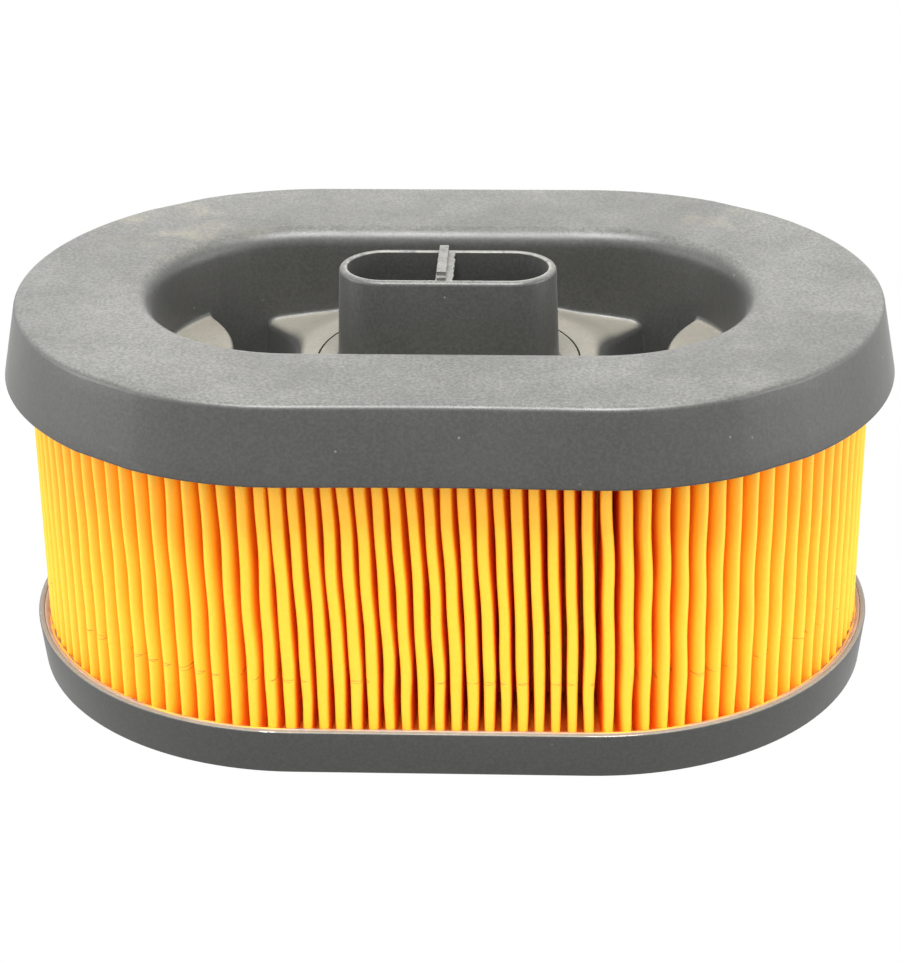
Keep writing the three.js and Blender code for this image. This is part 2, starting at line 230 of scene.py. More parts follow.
class Outline:
    """Places round an obround: core points and outward directions, anticlockwise."""

    def __init__(self, core_x, out_x, out_y):
        self.core_x, self.out_x, self.out_y = core_x, out_x, out_y

    @classmethod
    def even(cls, straight, per_straight, per_end):
        """Evenly spread places, starting at the front left."""
        run = np.linspace(-0.5, 0.5, per_straight, endpoint=False) * straight
        turn = np.linspace(0, math.pi, per_end, endpoint=False)
        end = np.full(per_end, straight / 2)
        core_x = np.concatenate([run, end, -run, -end])
        flat = np.zeros(per_straight)
        angle = np.concatenate([flat, turn, flat + math.pi, turn + math.pi])
        return cls(core_x, np.sin(angle), -np.cos(angle))

    @classmethod
    def through(cls, x, y):
        """Places whose outward lines pass through the given points."""
        core_x = np.clip(x, -HALF_STRAIGHT, HALF_STRAIGHT)
        length = np.hypot(x - core_x, y)
        return cls(core_x, (x - core_x) / length, y / length)

    def ring(self, radius, height):
        """Points at a distance from the core line, at one height or one height each."""
        x = self.core_x + radius * self.out_x
        y = radius * self.out_y
        return np.stack([x, y, np.broadcast_to(height, x.shape)], axis=-1)

    def sweep(self, section):
        """Rings of points, one for each point of a (radius, height) section."""
        return np.array([self.ring(radius, height) for radius, height in section])


def swept_body(name, section, outline, material, closed=True):
    """A section carried round an outline. An open section starts and ends on the core line."""
    rings = outline.sweep(section)
    rows, columns = rings.shape[:2]
    faces = grid_faces(rows, columns, wrap_rows=closed)
    return make_mesh(name, rings.reshape(-1, 3), faces, material)


def smooth_step(value, low, high):
    """0 below low, 1 above high and a smooth rise between."""
    share = np.clip((value - low) / (high - low), 0, 1)
    return share * share * (3 - 2 * share)


def mark_wear(piece, chosen):
    """Stores a 0 to 1 value at each point, which the moulding material turns into a pale edge."""
    points = np.array([v.co for v in piece.data.vertices]) / MM
    wear = piece.data.attributes.new("wear", "FLOAT", "POINT")
    wear.data.foreach_set("value", np.asarray(chosen(points), np.float32))


# ---------------------------------------------------------------- materials


class Shader:
    """A short way to build a material from procedural nodes."""

    def __init__(self, name):
        self.material = bpy.data.materials.new(name)
        self.material.use_nodes = True
        self.tree = self.material.node_tree
        self.surface = self.tree.nodes["Principled BSDF"]
        self.place = self.node("ShaderNodeTexCoord").outputs["Object"]

    def node(self, kind, inputs=None, **settings):
        node = self.tree.nodes.new(kind)
        for key, value in settings.items():
            setattr(node, key, value)
        for key, value in (inputs or {}).items():
            self.feed(node.inputs[key], value)
        return node

    def feed(self, socket, value):
        """Joins a node output to a socket, or sets the socket to a constant."""
        if isinstance(value, bpy.types.NodeSocket):
            self.tree.links.new(value, socket)
        else:
            socket.default_value = value

    def set(self, **values):
        for key, value in values.items():
            self.feed(self.surface.inputs[key.replace("_", " ")], value)

    def noise(self, scale, detail=4, roughness=0.55, place=None):
        inputs = {
            "Vector": place or self.place,
            "Scale": scale,
            "Detail": detail,
            "Roughness": roughness,
        }
        return self.node("ShaderNodeTexNoise", inputs).outputs["Fac"]

    def stretched(self, x, y, z):
        """The object's place, scaled by axis."""
        inputs = {"Vector": self.place, "Scale": (x, y, z)}
        return self.node("ShaderNodeMapping", inputs).outputs["Vector"]

    def ramp(self, value, low, high, to_low=0.0, to_high=1.0):
        """A smooth change from one value to another as the input goes from low to high."""
        inputs = {
            "Value": value,
            "From Min": low,
            "From Max": high,
            "To Min": to_low,
            "To Max": to_high,
        }
        node = self.node("ShaderNodeMapRange", inputs, interpolation_type="SMOOTHSTEP")
        return node.outputs["Result"]

    def math(self, operation, first, second=0.0):
        node = self.node("ShaderNodeMath", {0: first, 1: second}, operation=operation)
        return node.outputs[0]

    def mix(self, share, first, second):
        """A colour between two others. Sockets 6 and 7 are the node's pair for colours."""
        node = self.node("ShaderNodeMix", data_type="RGBA")
        for socket, value in ((0, share), (6, first), (7, second)):
            self.feed(node.inputs[socket], value)
        return node.outputs[2]

    def axis(self, name):
        return self.node("ShaderNodeSeparateXYZ", {"Vector": self.place}).outputs[name]

    def spot(self, x, y, z, radius):
        """1 at a point of the object, falling to 0 at a distance in millimetres."""
        centre = (x * MM, y * MM, z * MM)
        inputs = {0: self.place, 1: centre}
        distance = self.node("ShaderNodeVectorMath", inputs, operation="DISTANCE").outputs["Value"]
        return self.ramp(distance, 0.0, radius * MM, 1.0, 0.0)

    def bump(self, height, strength, distance):
        inputs = {"Height": height, "Strength": strength, "Distance": distance}
        return self.node("ShaderNodeBump", inputs).outputs["Normal"]


def rgb(red, green, blue):
    return (red, green, blue, 1.0)


def moulding_material():
    """Dark grey moulding: fine grain, dust and painted top light on what faces up, dirt and painted
    light on upward faces low down, pale specks, scuffs and worn edges.
    """
    shader = Shader("cap_moulding")
    cloud = shader.noise(45, detail=5)
    colour = shader.mix(cloud, rgb(0.022, 0.022, 0.02), rgb(0.033, 0.033, 0.03))
    fine = shader.noise(1500, detail=2)
    colour = shader.mix(shader.ramp(fine, 0.3, 0.75, 0.0, 0.35), colour, rgb(0.06, 0.06, 0.056))

    normal = shader.node("ShaderNodeNewGeometry").outputs["Normal"]
    up = shader.node("ShaderNodeSeparateXYZ", {"Vector": normal}).outputs["Z"]
    facing_up = shader.ramp(up, 0.55, 1.0)
    # Paler upward faces: partly dust, partly painted light that stands in for the light falling on the
    # tops.
    dust_and_painted_top_light = shader.ramp(shader.noise(30, detail=8, roughness=0.72), 0.35, 0.7, 0.08, 0.2)
    dust_and_painted_top_light = shader.math("MULTIPLY", dust_and_painted_top_light, shader.ramp(fine, 0.25, 0.75, 0.5, 1.5))
    colour = shader.mix(shader.math("MULTIPLY", facing_up, dust_and_painted_top_light), colour, rgb(0.3, 0.295, 0.27))
    height = shader.axis("Z")
    # Paler upward faces low down, on the seats in the well and the pan's rim: partly dirt, partly
    # painted light that stands in for the light the shaded well lacks.
    low_down = shader.ramp(height, 68 * MM, 76 * MM, 0.42, 0.0)
    dirt_and_painted_seat_light = shader.math("MULTIPLY", facing_up, low_down)
    colour = shader.mix(dirt_and_painted_seat_light, colour, rgb(0.26, 0.24, 0.19))
    left_stain, right_stain = (shader.spot(x, y, STAIN_Z, radius) for x, y, radius in STAINS)
    stain = shader.math("MAXIMUM", left_stain, right_stain)
    patches = shader.ramp(shader.noise(110, detail=6, roughness=0.7), 0.45, 0.7, 0.0, 0.25)
    stain = shader.math("MULTIPLY", shader.math("MULTIPLY", stain, facing_up), patches)
    colour = shader.mix(stain, colour, rgb(0.24, 0.21, 0.13))

    cells = shader.node("ShaderNodeTexVoronoi", {"Vector": shader.place, "Scale": 210.0})
    centre = shader.ramp(cells.outputs["Distance"], 0.03, 0.075, 1.0, 0.0)
    brightness = shader.node("ShaderNodeSeparateColor", {"Color": cells.outputs["Color"]})
    chosen = shader.ramp(brightness.outputs["Red"], 0.78, 0.9)
    speck = shader.math("MULTIPLY", shader.math("MULTIPLY", centre, chosen), 0.3)
    colour = shader.mix(speck, colour, rgb(0.3, 0.3, 0.28))

    streaks = shader.noise(1.0, detail=5, place=shader.stretched(90, 90, 420))
    scuffed = shader.ramp(shader.noise(28, detail=3), 0.6, 0.72)
    scuff = shader.math("MULTIPLY", shader.ramp(streaks, 0.6, 0.74, 0.0, 0.3), scuffed)
    colour = shader.mix(scuff, colour, rgb(0.16, 0.16, 0.155))

    worn = shader.node("ShaderNodeAttribute", attribute_name="wear").outputs["Fac"]
    ragged = shader.ramp(shader.noise(420, detail=4), 0.3, 0.55)
    worn = shader.math("MULTIPLY", worn, ragged)
    colour = shader.mix(worn, colour, rgb(0.3, 0.29, 0.26))

    roughness = shader.ramp(cloud, 0.3, 0.7, 0.4, 0.5)
    grain = shader.math("ADD", shader.math("MULTIPLY", fine, 0.6), shader.noise(420, detail=3))
    shader.set(Base_Color=colour, Roughness=roughness, Normal=shader.bump(grain, 0.22, 0.00012))
    shader.set(Sheen_Weight=0.05, Sheen_Roughness=0.4)
    return shader.material


def paper_material():
    """Yellow resin-treated paper with a broken ink line round the folds near their feet."""
    shader = Shader("filter_paper")
    fibre = shader.noise(900, detail=5, roughness=0.65)
    colour = shader.mix(fibre, rgb(0.97, 0.43, 0.014), rgb(0.985, 0.51, 0.03))

    height = shader.axis("Z")
    wander = shader.ramp(shader.noise(150, detail=2), 0.2, 0.8, -0.7 * MM, 0.7 * MM)
    off_line = shader.math("ABSOLUTE", shader.math("SUBTRACT", height, INK_LINE_Z * MM))
    off_line = shader.math("ABSOLUTE", shader.math("ADD", off_line, wander))
    line = shader.ramp(off_line, 0.05 * MM, 0.14 * MM, 1.0, 0.0)
    broken = shader.ramp(shader.noise(420, detail=3), 0.38, 0.46, 0.0, 0.65)
    ink = shader.math("MULTIPLY", line, broken)
    colour = shader.mix(ink, colour, rgb(0.16, 0.11, 0.02))

    relief = shader.math("ADD", fibre, shader.noise(250, detail=2))
    shader.set(Base_Color=colour, Roughness=0.55, Normal=shader.bump(relief, 0.15, 0.0001))
    return shader.material


def plain_material(name, dark, light, roughness, scale=300):
    """A material whose colour drifts between two tones, with a slight relief."""
    shader = Shader(name)
    tone = shader.noise(scale)
    relief = shader.bump(tone, 0.2, 0.0001)
    shader.set(Base_Color=shader.mix(tone, dark, light), Roughness=roughness, Normal=relief)
    return shader.material


MOULDING = moulding_material()
PAPER = paper_material()
GLUE = plain_material("glue", rgb(0.22, 0.16, 0.12), rgb(0.38, 0.31, 0.26), 0.45)
# Between the folds' feet the adhesive is given the paper's colour: painted light that stands in for
# the red light bounced between the folds
PAINTED_BOUNCE_GLUE = plain_material("painted_bounce_glue", rgb(0.8, 0.27, 0.015), rgb(0.9, 0.35, 0.02), 0.6)
TORN_GLUE = plain_material("torn_glue", rgb(0.5, 0.47, 0.43), rgb(0.8, 0.78, 0.74), 0.5, 900)
RUBBER = plain_material("gasket_rubber", rgb(0.015, 0.015, 0.015), rgb(0.03, 0.03, 0.03), 0.7)
CAGE = plain_material("cage_plastic", rgb(0.05, 0.05, 0.05), rgb(0.08, 0.08, 0.08), 0.55)


# ---------------------------------------------------------------- top cap


def well_radius(z):
    """The well's wall, which widens from the floor to the mouth."""
    return WELL_FLOOR_R + (z - WELL_FLOOR_Z) * (MOUTH_R - WELL_FLOOR_R) / (SHOULDER_Z - WELL_FLOOR_Z)


def from_core(x, y):
    """Distance from the obround's core line."""
    return np.hypot(np.maximum(np.abs(x) - HALF_STRAIGHT, 0), y)


def well_lines():
    """Lines across the right half of the well: where each crosses the middle, how high it stands
    (1 on top of a seat, 0 on the pocket's floor), and whether it belongs to the platform."""
    depth = PLATFORM_Z - WELL_FLOOR_Z
    pedestal_x = POCKET_CENTRE_X - PEDESTAL_ARC_R
    platform_x = POCKET_CENTRE_X - PLATFORM_ARC_R
    quarter = np.linspace(0, math.pi / 2, 6)
    lines = [(x, 1.0, False) for x in np.linspace(0, pedestal_x - PEDESTAL_EDGE, 18)[:-1]]
    for turn in quarter:
        x = pedestal_x - PEDESTAL_EDGE * (1 - math.sin(turn))
        lines.append((x, 1 - PEDESTAL_EDGE * (1 - math.cos(turn)) / depth, False))
    for turn in quarter:
        x = pedestal_x + POCKET_DRAFT + POCKET_FILLET * (1 - math.cos(turn))
        lines.append((x, POCKET_FILLET * (1 - math.sin(turn)) / depth, False))
    for turn in quarter[::-1]:
        x = platform_x - POCKET_DRAFT - POCKET_FILLET * (1 - math.cos(turn))
        lines.append((x, POCKET_FILLET * (1 - math.sin(turn)) / depth, True))
    for turn in quarter[::-1]:
        x = platform_x + PLATFORM_EDGE * (1 - math.sin(turn))
        lines.append((x, 1 - PLATFORM_EDGE * (1 - math.cos(turn)) / depth, True))
    reach = POCKET_CENTRE_X - HALF_STRAIGHT
    wall_r = well_radius(PLATFORM_Z + SEAT_FILLET)
    start_arc = PLATFORM_ARC_R - PLATFORM_EDGE
    sine = (reach**2 + wall_r**2 - start_arc**2) / (2 * reach * wall_r)
    for angle in np.linspace(math.asin(sine), math.pi / 2, 20)[1:]:
        arc_r = math.sqrt(reach**2 + wall_r**2 - 2 * reach * wall_r * math.sin(angle))
        lines.append((POCKET_CENTRE_X - arc_r, 1.0, True))
    return lines


def line_x(middle_x, y):
    """How a line across the well bends: an arc about the pocket's centre, flattening inwards."""
    size = np.abs(middle_x)
    inner_x = POCKET_CENTRE_X - PEDESTAL_ARC_R
    arc_r = POCKET_CENTRE_X - np.maximum(size, inner_x)
    bend = arc_r - np.sqrt(np.maximum(arc_r**2 - y**2, 0))
    return np.sign(middle_x) * (size + bend * np.minimum(size / inner_x, 1))


def seat_height(x, y, share, on_platform, floor_z, platform_z, pedestal_top):
    """Height of the well's floor, given how high up a seat's side a line stands."""
    top = np.where(on_platform, platform_z, pedestal_top(np.hypot(x, y)))
    return floor_z + (top - floor_z) * share


def pedestal_profile(distance):
    """The pedestal's slope, with its corners eased."""
    radii, heights = zip(*PEDESTAL_SLOPE)
    spread = [-1.2, -0.6, 0.0, 0.6, 1.2]
    return sum(np.interp(distance + step, radii, heights) for step in spread) / len(spread)


def line_ends(lines, end_radius, height_at):
    """How far each line runs from the middle before it meets the well's wall."""
    middle_x = np.array([line[0] for line in lines])
    low, high = np.zeros(len(lines)), np.full(len(lines), float(MOUTH_R))
    for _ in range(40):
        y = (low + high) / 2
        x = line_x(middle_x, y)
        outside = from_core(x, y) > end_radius(height_at(x, y))
        low, high = np.where(outside, low, y), np.where(outside, y, high)
    return low


def well_floor(lines, samples, end_radius, height_at, fillet):
    """A grid of points over the well: one row for each line, running from front to back."""
    middle_x = np.array([line[0] for line in lines])
    reach = line_ends(lines, end_radius, lambda x, y: height_at(x, y, slice(None)) + fillet)
    place = -np.cos(np.linspace(0, math.pi, samples))
    rows = []
    for index, x0 in enumerate(middle_x):
        y = reach[index] * place
        x = line_x(x0, y)
        z = height_at(x, y, index)
        gap = np.clip(end_radius(z + fillet) - from_core(x, y), 0, None)
        inside = np.clip(fillet - gap, 0, fillet)
        z = z + fillet - np.sqrt(fillet**2 - inside**2)
        rows.append(np.stack([x, y, z], axis=-1))
    return np.array(rows)


def mirrored(lines):
    """The right half's lines and their mirror images, from left to right."""
    return [(-x, share, seat) for x, share, seat in lines[:0:-1]] + lines


def bowed(points):
    """Draws the middle of the front long side in, and leaves the well as it is."""
    x, y = points[:, 0], points[:, 1]
    along = np.cos(np.clip(x / (HALF_STRAIGHT * 1.5), -1, 1) * math.pi / 2) ** 2
    outward = smooth_step(from_core(x, y), 38, 57)
    result = points.copy()
    result[:, 1] += FRONT_BOW * along * outward * (y < 0)
    return result


def border(grid):
    """The outline of a well grid: the front ends from left to right, then the back ends. The two
    outermost lines have shrunk to a point, so nothing else belongs to it."""
    return np.concatenate([grid[:, 0], grid[::-1, -1]])


def with_middles(section, longest):
    """A section with four more points on every run that is longer than a length."""
    points = [section[0]]
    for before, after in zip(section, section[1:]):
        if np.linalg.norm(after - before) > longest:
            points += [before + (after - before) * share for share in (0.2, 0.4, 0.6, 0.8)]
        points.append(after)
    return np.array(points)


def top_cap():
    """The cap's moulding: well floor, underside of the seats, and the wall and skirt round both."""
    lines = mirrored(well_lines())
    share = np.array([line[1] for line in lines])
    platform = np.array([line[2] for line in lines])

    def upper(x, y, index):
        return seat_height(
            x, y, share[index], platform[index], WELL_FLOOR_Z, PLATFORM_Z, pedestal_profile
        )

    foot_z = CAP_LOW.z
    wall_foot_r = WELL_FLOOR_R + CAP_WALL
    right = lines[len(lines) // 2 :]
    pedestal_x = POCKET_CENTRE_X - PEDESTAL_ARC_R
    platform_x = POCKET_CENTRE_X - PLATFORM_ARC_R
    hollow_x = np.interp(
        [line[0] for line in right],
        [0, pedestal_x, platform_x, right[-1][0]],
        [0, pedestal_x - CAP_WALL, platform_x + CAP_WALL, HALF_STRAIGHT + wall_foot_r],
    )
    under_lines = mirrored([(x, *line[1:]) for x, line in zip(hollow_x, right)])

    def lower(x, y, index):
        hollow = np.full_like(np.asarray(x, float), PEDESTAL_HOLLOW_Z)
        z = seat_height(
            x, y, share[index], platform[index], foot_z, PLATFORM_Z - CAP_WALL, lambda r: hollow
        )
        return np.where(from_core(x, y) > WELL_FLOOR_R, foot_z, z)

    samples = 45
    floor = well_floor(lines, samples, well_radius, upper, SEAT_FILLET)
    under = well_floor(under_lines, samples, lambda z: wall_foot_r, lower, 1e-6)

    edge = border(floor)
    outline = Outline.through(edge[:, 0], edge[:, 1])
    section = rounded(
        [
            (WELL_FLOOR_R, WELL_FLOOR_Z, 0),
            (MOUTH_R, SHOULDER_Z, MOUTH_FILLET),
            (SHOULDER_R, SHOULDER_Z, SHOULDER_FILLET),
            (SKIRT_R, SKIRT_FOOT_Z, 0.5),
            (SKIRT_R - CAP_WALL, SKIRT_FOOT_Z, 0.5),
            (SHOULDER_R - CAP_WALL + 0.5, SHOULDER_Z - CAP_WALL, 1),
            (MOUTH_R + CAP_WALL, SHOULDER_Z - CAP_WALL, 1),
            (wall_foot_r, foot_z, 0),
        ],
        steps=8,
    )[1:-1]
    wall_top_z = section[0][1]
    wall = []
    for step in np.linspace(0, 1, 9)[:-1]:
        z = edge[:, 2] + (wall_top_z - edge[:, 2]) * step
        wall.append(outline.ring(well_radius(z), z))
    rings = outline.sweep(with_middles(section, longest=6))
    rings = np.concatenate([np.array(wall), rings, border(under)[None]])

    columns = len(edge)
    points = [floor.reshape(-1, 3), under.reshape(-1, 3), rings.reshape(-1, 3)]
    faces = [
        grid_faces(len(lines), samples, wrap_columns=False),
        grid_faces(len(lines), samples, wrap_columns=False, first=len(points[0])),
        grid_faces(len(rings), columns, first=len(points[0]) + len(points[1])),
    ]
    cap = make_mesh("cap_surface", bowed(np.concatenate(points)), np.concatenate(faces), MOULDING)
    seat = Outline.even(0, 1, 64)
    seat_section = [(0, SEAT_Z), (SEAT_R, SEAT_Z), (SEAT_R, ABOVE_SEAT_Z), (0, ABOVE_SEAT_Z)]
    cut(cap, swept_body("seat_tool", seat_section, seat, MOULDING, closed=False))
    hole = Outline.even(NECK_STRAIGHT, 12, 40)
    hole_section = [
        (0, BELOW_CAP_Z),
        (SPIGOT_HOLE_R, BELOW_CAP_Z),
        (SPIGOT_HOLE_R, ABOVE_SEAT_Z),
        (0, ABOVE_SEAT_Z),
    ]
    cut(cap, swept_body("hole_tool", hole_section, hole, MOULDING, closed=False))
    cap.data.set_sharp_from_angle(angle=math.radians(35))
    return cap


def cut(piece, tool):
    """Takes the tool's volume out of a piece and removes the tool."""
    modifier = piece.modifiers.new("cut", "BOOLEAN")
    modifier.operation = "DIFFERENCE"
    modifier.solver = "EXACT"
    modifier.object = tool
    bpy.context.view_layer.update()
    evaluated = piece.evaluated_get(bpy.context.evaluated_depsgraph_get())
    result = bpy.data.meshes.new_from_object(evaluated)
    piece.modifiers.clear()
    piece.data = result
    bpy.data.objects.remove(tool)


# ---------------------------------------------------------------- outlet neck and divider


def neck_radius(z):
    """The neck's outside, which widens from the rim to the foot."""
    return NECK_RIM_R + (NECK_HIGH.z - z) * (NECK_FOOT_R - NECK_RIM_R) / (NECK_HIGH.z - FLANGE_Z)


def flange_rings(outline, radii, z):
    """Rings that change from the neck's obround to the flange's circle, given (share, height)."""
    inner = outline.ring(radii[0], z)
    direction = inner[:, :2] / np.linalg.norm(inner[:, :2], axis=1)[:, None]
    rings = []
    for share in np.linspace(0, 1, 7):
        ring = inner.copy()
        ring[:, :2] = inner[:, :2] * (1 - share) + direction * radii[1] * share
        rings.append(ring)
    return rings


def outlet_neck():
    """The obround tube with its round flange below and its spigot under that."""
    outline = Outline.even(NECK_STRAIGHT, 24, 40)
    rim_z = NECK_HIGH.z
    bore_top_r = NECK_RIM_R - NECK_WALL
    underside_z = FLANGE_Z - FLANGE_THICKNESS
    body = rounded(
        [
            (SPIGOT_R, NECK_LOW.z, 0),
            (SPIGOT_BORE_R, NECK_LOW.z, 0),
            (bore_top_r, rim_z, 0.35),
            (NECK_RIM_R, rim_z, NECK_RIM_FILLET),
            (neck_radius(FLANGE_Z), FLANGE_Z, NECK_FOOT_FILLET),
            (FLANGE_R, FLANGE_Z, 0),
        ],
        steps=6,
    )[:-1]
    foot_r = body[-1][0]
    rings = list(outline.sweep(body))
    rings += flange_rings(outline, (foot_r, FLANGE_R - 0.4), FLANGE_Z)[1:]
    rings += flange_rings(outline, (foot_r, FLANGE_R - 0.12), FLANGE_Z - 0.12)[-1:]
    rings += flange_rings(outline, (foot_r, FLANGE_R), FLANGE_Z - 0.4)[-1:]
    rings += flange_rings(outline, (SPIGOT_R, FLANGE_R), underside_z)[::-1]
    rings = np.array(rings)
    faces = grid_faces(len(rings), rings.shape[1], wrap_rows=True)
    neck = make_mesh("neck_surface", rings.reshape(-1, 3), faces, MOULDING)

    def rim_line(points):
        core = np.maximum(np.abs(points[:, 0]) - NECK_STRAIGHT / 2, 0)
        radius = np.hypot(core, points[:, 1])
        on_rim = (points[:, 2] > rim_z - 0.2) & (radius < bore_top_r + 0.45)
        return on_rim * 0.35

    mark_wear(neck, rim_line)
    return neck


def ragged_plate(x_inner, x_outer, front_y, back_y, low_z, high_z, depth, count=46):
    """A thin plate whose outer long edge is torn, as (points, faces)."""
    y = np.linspace(front_y, back_y, count)
    torn = np.convolve(RNG.random(count + 2), [0.25, 0.5, 0.25], "valid") ** 2
    edge = x_outer + (x_inner - x_outer) * depth * torn
    inner = np.full(count, x_inner)
    columns = [(inner, low_z), (edge, low_z), (edge, high_z), (inner, high_z)]
    points = [np.stack([x, y, np.full(count, z)], axis=-1) for x, z in columns]
    faces = grid_faces(4, count, wrap_rows=True, wrap_columns=False).tolist()
    faces.append([0, count, 2 * count, 3 * count])
    faces.append([count - 1, 2 * count - 1, 3 * count - 1, 4 * count - 1])
    return np.concatenate(points), faces


def block(low, high):
    """A box's points and faces from its low and high corners."""
    corners = [
        (x, y, z) for z in (low[2], high[2]) for y in (low[1], high[1]) for x in (low[0], high[0])
    ]
    faces = [[0, 1, 3, 2], [4, 5, 7, 6], [0, 1, 5, 4], [2, 3, 7, 6], [0, 2, 6, 4], [1, 3, 7, 5]]
    return np.array(corners, float), faces


def neck_divider():
    """The rib across the neck: a plate, a crest with a lower front end, and torn flash."""
    rim_z = NECK_HIGH.z
    low, high = DIVIDER_LOW, DIVIDER_HIGH
    front, back = low.y, high.y
    flash_z = rim_z - FLASH_THICKNESS
    parts = [
        block((CREST_LEFT_X, front, low.z), (CREST_RIGHT_X, back, flash_z)),
        block((CREST_LEFT_X, front + 1.4, flash_z - 0.1), (CREST_RIGHT_X, back, high.z)),
        block((CREST_LEFT_X, front, flash_z - 0.1), (CREST_RIGHT_X, front + 1.5, high.z - CREST_STEP)),
        ragged_plate(CREST_RIGHT_X, high.x, front, back, flash_z, rim_z - 0.05, 0.45),
        ragged_plate(CREST_LEFT_X, low.x, front, back, flash_z, rim_z - 0.05, 0.8),
    ]
    points, faces, start = [], [], 0
    for part_points, part_faces in parts:
        points.append(part_points)
        faces += [[index + start for index in face] for face in part_faces]
        start += len(part_points)
    divider = make_mesh("divider_surface", np.concatenate(points), faces, MOULDING, sharp_angle=30)
    mark_wear(divider, lambda p: smooth_step(p[:, 2], rim_z - 1.2, rim_z - 0.4) * 0.18)
    return divider


# ---------------------------------------------------------------- base pan


def base_pan():
    """The closed pan under the folds, with a shallow recess in its underside."""
    rim_z, rim_r = PAN_HIGH.z, PAN_HIGH.y
    inner_foot_r = PAN_FOOT_R - PAN_WALL
    section = rounded(
        [
            (0, PAN_RECESS, 0),
            (PAN_RECESS_R - PAN_RECESS, PAN_RECESS, 0.8),
            (PAN_RECESS_R, 0, 0.8),
            (PAN_FOOT_R, 0, PAN_FOOT_FILLET),
            (rim_r, rim_z, 0.35),
            (rim_r - PAN_WALL, rim_z, 0.35),
            (inner_foot_r, PAN_FLOOR, 0.8),
            (PAN_RECESS_R + 0.3, PAN_FLOOR, 0),
            (PAN_RECESS_R + 0.3, PAN_RECESS + PAN_FLOOR, 0),
            (0, PAN_RECESS + PAN_FLOOR, 0),
        ]
    )
    outline = Outline.even(STRAIGHT, 40, 72)
    return swept_body("pan_surface", section, outline, MOULDING, closed=False)


def glue_bead():
    """The line of adhesive that rises between the folds' tips and the pan's rim."""
    outline = Outline.even(STRAIGHT, 60, 110)
    inner_r, outer_r = FOLD_OUTER_R - 0.3, PAN_HIGH.y - PAN_WALL
    foot_z, rim_z = PAN_HIGH.z - 1.2, PAN_HIGH.z - 0.05
    section = [
        (inner_r, foot_z),
        (outer_r, foot_z),
        (outer_r, rim_z - 0.1),
        (outer_r - 0.2, rim_z - 0.05),
        (outer_r - 0.5, rim_z - 0.35),
        (inner_r, rim_z - 0.6),
    ]
    rings = outline.sweep(section)
    count = rings.shape[1]
    swell = np.convolve(RNG.normal(0, 1, count + 6), np.ones(7) / 7, "valid")
    rings[3:5, :, 2] += 0.09 * swell
    faces = grid_faces(*rings.shape[:2], wrap_rows=True)
    return make_mesh("glue_bead", rings.reshape(-1, 3), faces, GLUE, sharp_angle=80)


def torn_glue(name, start_x, end_x, height, count=40):
    """A patch of torn adhesive on the pan's front rim: a rough lump that thins out to its ends."""
    rim_r = PAN_HIGH.y
    across = np.linspace(0, 1, 7)
    loops = []
    for x in np.linspace(start_x, end_x, count):
        share = (x - start_x) / (end_x - start_x)
        size = math.sin(math.pi * share) ** 0.6
        drop = height * size * (0.55 + 0.45 * RNG.random())
        rough = RNG.random(len(across)) * 0.16 * size
        core_x = min(max(x, -HALF_STRAIGHT), HALF_STRAIGHT)
        angle = (x - core_x) / rim_r
        radius = rim_r - 0.25 + rough
        z = PAN_HIGH.z - 0.02 - drop * across
        x_round, y_round = core_x + radius * math.sin(angle), -radius * math.cos(angle)
        front = np.stack([x_round, y_round, z], axis=-1)
        back = front + (0, 0.4 * size, 0)
        loops.append(np.concatenate([front, back[::-1]]))
    loops = np.array(loops)
    faces = grid_faces(*loops.shape[:2])
    return make_mesh(name, loops.reshape(-1, 3), faces, TORN_GLUE, sharp_angle=50)


# ---------------------------------------------------------------- folded paper


def fold_place(fold, radius):
    """The (x, y) of a place counted in folds from the front left, at a distance from the core."""
    side = FOLDS_PER_STRAIGHT + FOLDS_PER_END
    turn = np.mod(fold, FOLDS)
    half = np.where(turn < side, 1.0, -1.0)
    along = np.mod(turn, side)
    run = np.minimum(along / FOLDS_PER_STRAIGHT, 1)
    angle = math.pi * np.maximum(along - FOLDS_PER_STRAIGHT, 0) / FOLDS_PER_END
    x = half * (STRAIGHT * (run - 0.5) + radius * np.sin(angle))
    return x, -half * radius * np.cos(angle)


def pitch_at(fold, radius):
    """Length of one fold's pitch at a distance from the core line."""
    side = FOLDS_PER_STRAIGHT + FOLDS_PER_END
    past_straight = np.mod(fold, side) > FOLDS_PER_STRAIGHT
    return np.where(past_straight, math.pi * radius / FOLDS_PER_END, PITCH)


def on_end(fold):
    """0 for a fold on the straights, rising to 1 for the folds well round the ends."""
    along = np.mod(fold, FOLDS_PER_STRAIGHT + FOLDS_PER_END)
    into_end = np.minimum(along - FOLDS_PER_STRAIGHT, FOLDS_PER_STRAIGHT + FOLDS_PER_END - along)
    return smooth_step(into_end, -1.0, 5.0)


def between(pair, share):
    return pair[0] + (pair[1] - pair[0]) * share


def fold_section(half_width, ply, share):
    """One fold's outer and inner face, as offsets from its middle: millimetres at the tip, and a
    share of the way to the neighbouring valley with a depth from 0 (tip) to 1 (valley)."""
    turn = np.linspace(0, math.pi / 2, 7)
    power = 2 / between(TIP_SQUARENESS, share)
    tip_depth = between(TIP_DEPTH, share)
    across = np.sin(turn) ** power
    inward = 1 - np.cos(turn) ** power
    outer = np.stack([half_width * across, tip_depth * inward], axis=-1)
    inner = np.stack([(half_width - ply) * across, ply + (tip_depth - ply) * inward], axis=-1)
    return outer, inner


def fold_centres():
    """Where each fold stands, in folds: evenly spread, but slightly parted at the seam."""
    fold = np.arange(FOLDS, dtype=float)
    offset = fold - SEAM_FOLD
    left = -SEAM_OPENING * np.exp(offset / 3.0) * (offset < 0)
    right = SEAM_OPENING * np.exp(-offset / 2.0) * (offset >= 0)
    return fold + left + right


